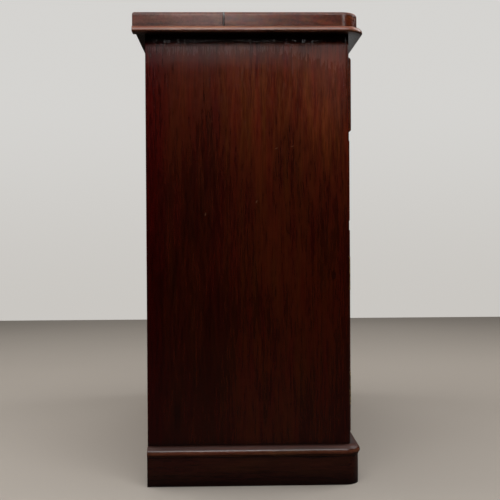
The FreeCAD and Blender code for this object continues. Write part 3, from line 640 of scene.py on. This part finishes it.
def facing_matrix(place, normal, turn):
    """Stands a piece drawn on the XY plane on a face with this normal."""
    rotation = Vector(normal).to_track_quat("Z", "Y").to_matrix().to_4x4()
    return Matrix.Translation(place) @ rotation @ Matrix.Rotation(turn, 4, "Z")


def add_half_head(mesh, radius, rise, slot, side, place):
    """One half of a slotted head: a D shape, softened round its rim."""
    steps = 14
    rings = []
    for inset, height in ((0.0, 0.0), (0.0, 0.55), (0.22, 1.0)):
        reach = radius * (1.0 - inset)
        low = math.asin(slot / reach)
        ring = []
        for step in range(steps + 1):
            angle = low + (math.pi - low - low) * step / steps
            point = Vector((reach * math.cos(angle), side * reach * math.sin(angle), rise * height))
            ring.append(mesh.verts.new(place @ point))
        rings.append(ring)
    for lower, upper in zip(rings, rings[1:]):
        for step in range(steps + 1):
            after = (step + 1) % (steps + 1)
            mesh.faces.new((lower[step], lower[after], upper[after], upper[step]))
    mesh.faces.new(rings[-1])
    mesh.faces.new(list(reversed(rings[0])))


def add_round_head(mesh, radius, rise, place):
    """A nail head: a flat rim under a low dome."""
    steps = 16
    rings = []
    for share, height in ((1.0, 0.0), (1.0, 0.35), (0.75, 0.80), (0.35, 1.0)):
        ring = []
        for step in range(steps):
            angle = math.tau * step / steps
            reach = radius * share
            point = Vector((reach * math.cos(angle), reach * math.sin(angle), rise * height))
            ring.append(mesh.verts.new(place @ point))
        rings.append(ring)
    for lower, upper in zip(rings, rings[1:]):
        for step in range(steps):
            after = (step + 1) % steps
            mesh.faces.new((lower[step], lower[after], upper[after], upper[step]))
    mesh.faces.new(rings[-1])
    mesh.faces.new(list(reversed(rings[0])))


def place_heads(name, body, material, heads, shape):
    """One piece with a head at each place, riding on a body."""
    mesh = bmesh.new()
    for place, normal, turn in heads:
        shape(mesh, facing_matrix(place, normal, turn))
    bmesh.ops.recalc_face_normals(mesh, faces=mesh.faces)
    data = bpy.data.meshes.new(name)
    mesh.to_mesh(data)
    mesh.free()
    piece = bpy.data.objects.new(name, data)
    piece.data.materials.append(material)
    bpy.context.collection.objects.link(piece)
    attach(piece, body)


def screw_shape(mesh, place):
    sizes = bpy.context.scene.chiffonier_fasteners
    slot = sizes.screw_radius * 0.14
    for side in (-1.0, 1.0):
        add_half_head(mesh, sizes.screw_radius, sizes.screw_rise, slot, side, place)


def nail_shape(mesh, place):
    sizes = bpy.context.scene.chiffonier_fasteners
    add_round_head(mesh, sizes.nail_radius, sizes.nail_rise, place)


def pin_shape(mesh, place):
    sizes = bpy.context.scene.chiffonier_fasteners
    add_round_head(mesh, sizes.pin_radius, sizes.pin_rise, place)


def leaf_screws(node, face_x, inward):
    """Three staggered screws in each leaf of a door's two hinges."""
    sizes = bpy.context.scene.chiffonier_fasteners
    low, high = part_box(node)
    back = high.y - sizes.screw_radius * 1.7
    front = back - sizes.screw_radius * 1.9
    heads = []
    for foot in (low.z, high.z - sizes.hinge_height):
        for step, (share, y) in enumerate(((0.17, back), (0.5, front), (0.83, back))):
            place = Vector((face_x, y, foot + sizes.hinge_height * share))
            turn = 0.9 * step + 30.0 * foot
            heads.append((place, (inward, 0.0, 0.0), turn))
    return heads


def plate_screws(low, high, y, inset, shares):
    """Screws up both edges of an upright plate on the inside of a door."""
    heads = []
    for x in (low.x + inset, high.x - inset):
        for share in shares:
            z = low.z + (high.z - low.z) * share
            turn = 40.0 * (x + z)
            heads.append((Vector((x, y, z)), (0.0, 1.0, 0.0), turn))
    return heads


# Operators

class CHIFFONIER_OT_finish_sides(bpy.types.Operator):
    """Polish the side boards and the facings down their front edges"""

    bl_idname = "chiffonier.finish_sides"
    bl_label = "Finish sides"

    def execute(self, context):
        boards = ["left_side_board", "right_side_board", "left_facing", "right_facing"]
        give_finish(boards, timber_finish("side", "Z"))
        return {"FINISHED"}


class CHIFFONIER_OT_finish_top(bpy.types.Operator):
    """Polish the planks of the top and the mouldings under them"""

    bl_idname = "chiffonier.finish_top"
    bl_label = "Finish top"

    def execute(self, context):
        give_finish(["top_board_back", "top_board_front"], timber_finish("top", "X"))
        give_finish(["top_moulding_front"], timber_finish("moulding", "X"))
        give_finish(["top_moulding_left", "top_moulding_right"], timber_finish("moulding", "Y"))
        return {"FINISHED"}


class CHIFFONIER_OT_finish_plinth(bpy.types.Operator):
    """Polish the plinth and its mouldings"""

    bl_idname = "chiffonier.finish_plinth"
    bl_label = "Finish plinth"

    def execute(self, context):
        give_finish(["plinth_front"], timber_finish("plinth", "X"))
        give_finish(["plinth_left", "plinth_right"], timber_finish("plinth", "Y"))
        give_finish(["plinth_moulding_front"], timber_finish("moulding", "X"))
        give_finish(["plinth_moulding_left", "plinth_moulding_right"], timber_finish("moulding", "Y"))
        return {"FINISHED"}


class CHIFFONIER_OT_finish_front(bpy.types.Operator):
    """Polish the rails, the bottom board, the drawer fronts, the doors and the knobs"""

    bl_idname = "chiffonier.finish_front"
    bl_label = "Finish front"

    def execute(self, context):
        level = ["frieze_rail", "upper_drawer_rail", "lower_drawer_rail", "bottom_board"]
        level += ["left_drawer_front", "right_drawer_front", "long_drawer_front"]
        level += ["left_door_rails", "right_door_rails"]
        upright = ["drawer_partition", "left_door_stiles", "right_door_stiles"]
        upright += ["left_door_panel", "right_door_panel"]
        knobs = ["left_drawer_knob", "right_drawer_knob", "long_drawer_knobs", "right_door_knob"]
        give_finish(level, timber_finish("front", "X"))
        give_finish(upright, timber_finish("front", "Z"))
        give_finish(knobs, timber_finish("front", "Y"))
        return {"FINISHED"}


class CHIFFONIER_OT_finish_linings(bpy.types.Operator):
    """Give the drawer sides, backs and bottoms their bare wood"""

    bl_idname = "chiffonier.finish_linings"
    bl_label = "Finish drawer linings"

    def execute(self, context):
        for drawer in ("left_drawer", "right_drawer", "long_drawer"):
            give_finish([f"{drawer}_left_side", f"{drawer}_right_side"], timber_finish("lining", "Y"))
            give_finish([f"{drawer}_back", f"{drawer}_bottom"], timber_finish("lining", "X"))
        return {"FINISHED"}


class CHIFFONIER_OT_finish_inside(bpy.types.Operator):
    """Give the inner boards and the back their sawn pine"""

    bl_idname = "chiffonier.finish_inside"
    bl_label = "Finish inside and back"

    def execute(self, context):
        give_finish(["top_back_rail", "cupboard_shelf", "plinth_back"], timber_finish("pine", "X"))
        runners = ["drawer_runners_and_kickers", "dust_panels", "shelf_bearers"]
        give_finish(runners, timber_finish("pine", "Y"))
        give_finish(["back_boards", "plinth_blocks", "stop_blocks"], timber_finish("pine", "Z"))
        return {"FINISHED"}


class CHIFFONIER_OT_finish_brass(bpy.types.Operator):
    """Tarnish the hinges, the bolt and the lock"""

    bl_idname = "chiffonier.finish_brass"
    bl_label = "Finish brass"

    def execute(self, context):
        finish = context.scene.chiffonier_finish
        metal = brass("old_brass", finish.brass_bright, finish.brass_dull)
        pieces = ["hinge_fixed_leaves", "left_door_hinges", "right_door_hinges"]
        pieces += ["left_door_bolt_plate", "left_door_bolt", "right_door_lock"]
        give_finish(pieces, metal)
        return {"FINISHED"}


class CHIFFONIER_OT_fit_screws(bpy.types.Operator):
    """Screw on the hinges, the bolt plate and the lock"""

    bl_idname = "chiffonier.fit_screws"
    bl_label = "Fit screws"

    def execute(self, context):
        sizes = context.scene.chiffonier_fasteners
        metal = bpy.data.materials["old_brass"]
        low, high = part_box("hinge_fixed_leaves")
        thickness = sizes.hinge_leaf_thickness
        heads = leaf_screws("hinge_fixed_leaves", low.x + thickness, 1.0)
        heads += leaf_screws("hinge_fixed_leaves", high.x - thickness, -1.0)
        place_heads("carcass_hinge_screws", "carcass", metal, heads, screw_shape)

        hinge_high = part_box("left_door_hinges")[1]
        heads = leaf_screws("left_door_hinges", hinge_high.x - thickness, -1.0)
        low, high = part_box("left_door_bolt_plate")
        face = low.y + sizes.bolt_plate_thickness
        heads += plate_screws(low, high, face, sizes.screw_radius * 1.3, (0.30, 0.72))
        place_heads("left_door_screws", "left_door", metal, heads, screw_shape)

        hinge_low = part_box("right_door_hinges")[0]
        heads = leaf_screws("right_door_hinges", hinge_low.x + thickness, 1.0)
        low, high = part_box("right_door_lock")
        heads += plate_screws(low, high, high.y, sizes.screw_radius * 2.2, (0.1, 0.9))
        place_heads("right_door_screws", "right_door", metal, heads, screw_shape)

        middle = (low + high) / 2
        reach = (high.z - low.z) * 0.18
        heads = [
            (Vector((middle.x, low.y, middle.z + rise)), (0.0, -1.0, 0.0), 0.0) for rise in (-reach, reach)
        ]
        place_heads("escutcheon_pins", "right_door", metal, heads, pin_shape)
        return {"FINISHED"}


NAIL_SHARES = (0.22, 0.74)
NAIL_DRIFT_X = 0.006
NAIL_DRIFT_Z = 0.003
NAIL_LEAN_X = 0.06
NAIL_LEAN_Z = 0.04


class CHIFFONIER_OT_fit_nails(bpy.types.Operator):
    """Nail the back boards along their top and bottom ends"""

    bl_idname = "chiffonier.fit_nails"
    bl_label = "Fit nails"

    def execute(self, context):
        sizes = context.scene.chiffonier_fasteners
        low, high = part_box("back_boards")
        rail_low, rail_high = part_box("top_back_rail")
        floor_low, floor_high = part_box("bottom_board")
        pitch = (high.x - low.x) / sizes.back_board_count
        heads = []
        for row, z in enumerate(((rail_low.z + rail_high.z) / 2, (floor_low.z + floor_high.z) / 2)):
            for board in range(sizes.back_board_count):
                for share in NAIL_SHARES:
                    wander = math.sin(7.3 * board + 4.1 * row + 11.0 * share)
                    x = low.x + pitch * (board + share)
                    place = Vector((x + NAIL_DRIFT_X * wander, high.y, z + NAIL_DRIFT_Z * wander))
                    heads.append((place, (NAIL_LEAN_X * wander, 1.0, NAIL_LEAN_Z * wander), 0.0))
        place_heads("back_nails", "carcass", iron("old_iron"), heads, nail_shape)
        return {"FINISHED"}


class CHIFFONIER_OT_set_stage(bpy.types.Operator):
    """Lay the floor and backdrop, hang the lamps and stand the camera at the photo's angle"""

    bl_idname = "chiffonier.set_stage"
    bl_label = "Set stage"

    def execute(self, context):
        stage = context.scene.chiffonier_stage
        lay_floor(stage)
        hang_backdrop(stage)
        light_room(stage)
        dim_room(stage)
        stand_camera(stage)
        context.scene.view_settings.view_transform = "Standard"
        return {"FINISHED"}


# Stage

def link_stage(name, mesh, material):
    data = bpy.data.meshes.new(name)
    mesh.to_mesh(data)
    mesh.free()
    piece = bpy.data.objects.new(name, data)
    piece.data.materials.append(material)
    bpy.context.collection.objects.link(piece)
    return piece


FLOOR_CLOUDS = (1.2, 1.2, 1.2)
FLOOR_CLOUD_SWING = 0.03
FAR_FLOOR_SHADE_TINT = (0.80, 0.79, 0.78)


def lay_floor(stage):
    """A plain floor, with painted shade further away, that keeps the shadow and throws little light back on
    the dark wood.
    """
    graph = new_material("stage_floor")
    place = graph.place()
    cloud = graph.noise(place, FLOOR_CLOUDS, detail=3.0)
    pale = [part * (1.0 + FLOOR_CLOUD_SWING) for part in stage.floor_colour]
    deep = [part * (1.0 - FLOOR_CLOUD_SWING) for part in stage.floor_colour]
    thrown = [part * stage.floor_bounce for part in stage.floor_colour]
    seen = graph.add("ShaderNodeLightPath", {}).outputs["Is Camera Ray"]
    parts = graph.add("ShaderNodeSeparateXYZ", {0: place})
    # Painted shade: the floor is darker further from the camera, as if less lit.
    away = graph.math("SUBTRACT", parts.outputs["X"], graph.math("MULTIPLY", parts.outputs["Y"], 0.4))
    far = graph.ramp(away, -1.2, 0.8)
    shown = graph.shade(far, graph.mix(cloud, deep, pale), FAR_FLOOR_SHADE_TINT)
    colour = graph.mix(seen, thrown, shown)
    material = graph.surface({"Base Color": colour, "Roughness": 0.7, "Specular IOR Level": 0.1})
    mesh = bmesh.new()
    bmesh.ops.create_circle(mesh, cap_ends=True, segments=96, radius=stage.backdrop_distance * 3.0)
    floor = link_stage("floor", mesh, material)
    floor.location.z = cad_low.z


def wall_plan(distance):
    """Points round a square of walls with rounded corners."""
    corner = distance * 0.4
    straight = distance - corner
    steps = 16
    points = []
    for quarter, (x, y) in enumerate(((1, 1), (-1, 1), (-1, -1), (1, -1))):
        for step in range(steps + 1):
            angle = math.pi / 2 * (quarter + step / steps)
            round_x = corner * math.cos(angle)
            round_y = corner * math.sin(angle)
            points.append((x * straight + round_x, y * straight + round_y))
    return points


def hang_backdrop(stage):
    """Plain pale walls, seen only from inside."""
    graph = new_material("stage_backdrop")
    path = graph.add("ShaderNodeLightPath", {})
    seen = graph.math("MAXIMUM", path.outputs["Is Camera Ray"], path.outputs["Is Transmission Ray"])
    outside = graph.add("ShaderNodeNewGeometry", {}).outputs["Backfacing"]
    shown = graph.math("MULTIPLY", seen, graph.math("SUBTRACT", 1.0, outside))
    place = graph.place()
    up = graph.axis(place, "Z")
    colour = graph.mix(graph.ramp(up, 0.0, 1.3), stage.backdrop_foot, stage.backdrop_colour)
    glow = graph.add("ShaderNodeEmission", {"Color": colour, "Strength": 1.0})
    clear = graph.add("ShaderNodeBsdfTransparent", {})
    blend = graph.add("ShaderNodeMixShader", {0: shown, 1: clear.outputs[0], 2: glow.outputs[0]})
    graph.add("ShaderNodeOutputMaterial", {"Surface": blend.outputs[0]})
    mesh = bmesh.new()
    plan = wall_plan(stage.backdrop_distance)
    foot = [mesh.verts.new((x, y, 0.0)) for x, y in plan]
    head = [mesh.verts.new((x, y, stage.backdrop_distance * 2.0)) for x, y in plan]
    for step in range(len(plan)):
        after = (step + 1) % len(plan)
        mesh.faces.new((foot[after], foot[step], head[step], head[after]))
    backdrop = link_stage("backdrop", mesh, graph.owner)
    backdrop.location.z = cad_low.z
    backdrop.visible_shadow = False
    backdrop.visible_diffuse = False
    backdrop.visible_glossy = False


def hang_lamp(name, place, target, size, power):
    data = bpy.data.lights.new(name, "AREA")
    data.shape = "RECTANGLE"
    data.size, data.size_y = size
    data.energy = power
    lamp = bpy.data.objects.new(name, data)
    lamp.location = place
    lamp.rotation_euler = (Vector(target) - Vector(place)).to_track_quat("-Z", "Y").to_euler()
    lamp.visible_camera = False
    bpy.context.collection.objects.link(lamp)
    return lamp


def light_room(stage):
    """Soft lamps all round, and small ones that only the polish mirrors."""
    hang_lamp(
        "key_lamp", place=(-1.32, -0.15, 1.67), target=(-0.5, -0.05, 0.7), size=(1.5, 0.8),
        power=stage.key_power,
    )
    sheen = hang_lamp(
        "sheen_lamp", place=(-1.5, 0.06, 1.31), target=(-0.5, 0.05, 0.85), size=(0.28, 0.08),
        power=stage.sheen_power,
    )
    corner = hang_lamp(
        "corner_lamp", place=(-1.83, -0.77, 1.31), target=(-0.5, -0.2, 0.9), size=(0.25, 0.15),
        power=stage.corner_power,
    )
    far = hang_lamp(
        "far_lamp", place=(2.5, -0.45, 0.68), target=(0.0, -0.25, 0.4), size=(1.2, 1.25),
        power=stage.far_power,
    )
    hang_lamp(
        "front_lamp", place=(0.5, -2.35, 2.4), target=(0.0, 0.0, 0.45), size=(2.0, 1.6),
        power=stage.front_power,
    )
    side = hang_lamp(
        "side_lamp", place=(1.75, 0.2, 2.9), target=(0.5, 0.0, 0.45), size=(1.4, 0.7),
        power=stage.side_power,
    )
    hang_lamp(
        "back_lamp", place=(0.5, 2.0, 2.7), target=(0.0, 0.2, 0.45), size=(2.0, 1.2),
        power=stage.back_power,
    )
    top = hang_lamp(
        "top_lamp", place=(0.0, 0.0, 3.0), target=(0.0, 0.0, 0.0), size=(2.6, 2.6),
        power=stage.top_power,
    )
    for lamp in (sheen, corner, far):
        lamp.visible_diffuse = False
    for lamp in (side, top):
        lamp.visible_glossy = False


def dim_room(stage):
    """Even light from all round, darker where the polish mirrors it."""
    world = bpy.data.worlds.new("room_light")
    graph = Graph(world)
    mirrored = graph.add("ShaderNodeLightPath", {}).outputs["Is Glossy Ray"]
    strength = graph.line(mirrored, stage.room_gloss - stage.room_light, stage.room_light)
    glow = graph.add("ShaderNodeBackground", {"Color": (1.0, 1.0, 1.0, 1.0), "Strength": strength})
    graph.add("ShaderNodeOutputWorld", {"Surface": glow.outputs[0]})
    bpy.context.scene.world = world


def stand_camera(stage):
    """The camera at the photo's place, turned by yaw, pitch and roll from looking along X."""
    level = math.cos(stage.camera_pitch)
    ahead = level * math.cos(stage.camera_yaw)
    aside = -level * math.sin(stage.camera_yaw)
    forward = Vector((ahead, aside, math.sin(stage.camera_pitch)))
    right = forward.cross(Vector((0.0, 0.0, 1.0))).normalized()
    up = right.cross(forward)
    lean = Matrix.Rotation(stage.camera_roll, 3, -forward)
    turned = Matrix((lean @ right, lean @ up, -forward)).transposed()
    data = bpy.data.cameras.new("photo_camera")
    data.lens = stage.lens
    data.shift_y = stage.camera_rise
    camera = bpy.data.objects.new("photo_camera", data)
    camera.matrix_world = Matrix.Translation(stage.camera_place) @ turned.to_4x4()
    bpy.context.collection.objects.link(camera)
    bpy.context.scene.camera = camera


class CHIFFONIER_PT_panel(bpy.types.Panel):
    """Lists the steps in the order that they are done"""

    bl_idname = "CHIFFONIER_PT_panel"
    bl_label = "Chiffonier"
    bl_space_type = "VIEW_3D"
    bl_region_type = "UI"
    bl_category = "Chiffonier"

    def draw(self, context):
        for operator in OPERATORS:
            self.layout.operator(operator.bl_idname)


OPERATORS = (
    CHIFFONIER_OT_finish_sides,
    CHIFFONIER_OT_finish_top,
    CHIFFONIER_OT_finish_plinth,
    CHIFFONIER_OT_finish_front,
    CHIFFONIER_OT_finish_linings,
    CHIFFONIER_OT_finish_inside,
    CHIFFONIER_OT_finish_brass,
    CHIFFONIER_OT_fit_screws,
    CHIFFONIER_OT_fit_nails,
    CHIFFONIER_OT_set_stage,
)
SETTINGS = {
    "chiffonier_finish": CHIFFONIER_PG_finish,
    "chiffonier_fasteners": CHIFFONIER_PG_fasteners,
    "chiffonier_stage": CHIFFONIER_PG_stage,
}


def register():
    for group in SETTINGS.values():
        bpy.utils.register_class(group)
    for operator in OPERATORS:
        bpy.utils.register_class(operator)
    bpy.utils.register_class(CHIFFONIER_PT_panel)
    for name, group in SETTINGS.items():
        setattr(bpy.types.Scene, name, PointerProperty(type=group))


def unregister():
    for name in SETTINGS:
        delattr(bpy.types.Scene, name)
    bpy.utils.unregister_class(CHIFFONIER_PT_panel)
    for operator in reversed(OPERATORS):
        bpy.utils.unregister_class(operator)
    for group in reversed(SETTINGS.values()):
        bpy.utils.unregister_class(group)


def main():
    register()
    bpy.ops.chiffonier.finish_sides()
    bpy.ops.chiffonier.finish_top()
    bpy.ops.chiffonier.finish_plinth()
    bpy.ops.chiffonier.finish_front()
    bpy.ops.chiffonier.finish_linings()
    bpy.ops.chiffonier.finish_inside()
    bpy.ops.chiffonier.finish_brass()
    bpy.ops.chiffonier.fit_screws()
    bpy.ops.chiffonier.fit_nails()
    bpy.ops.chiffonier.set_stage()


if __name__ == "__main__":
    main()
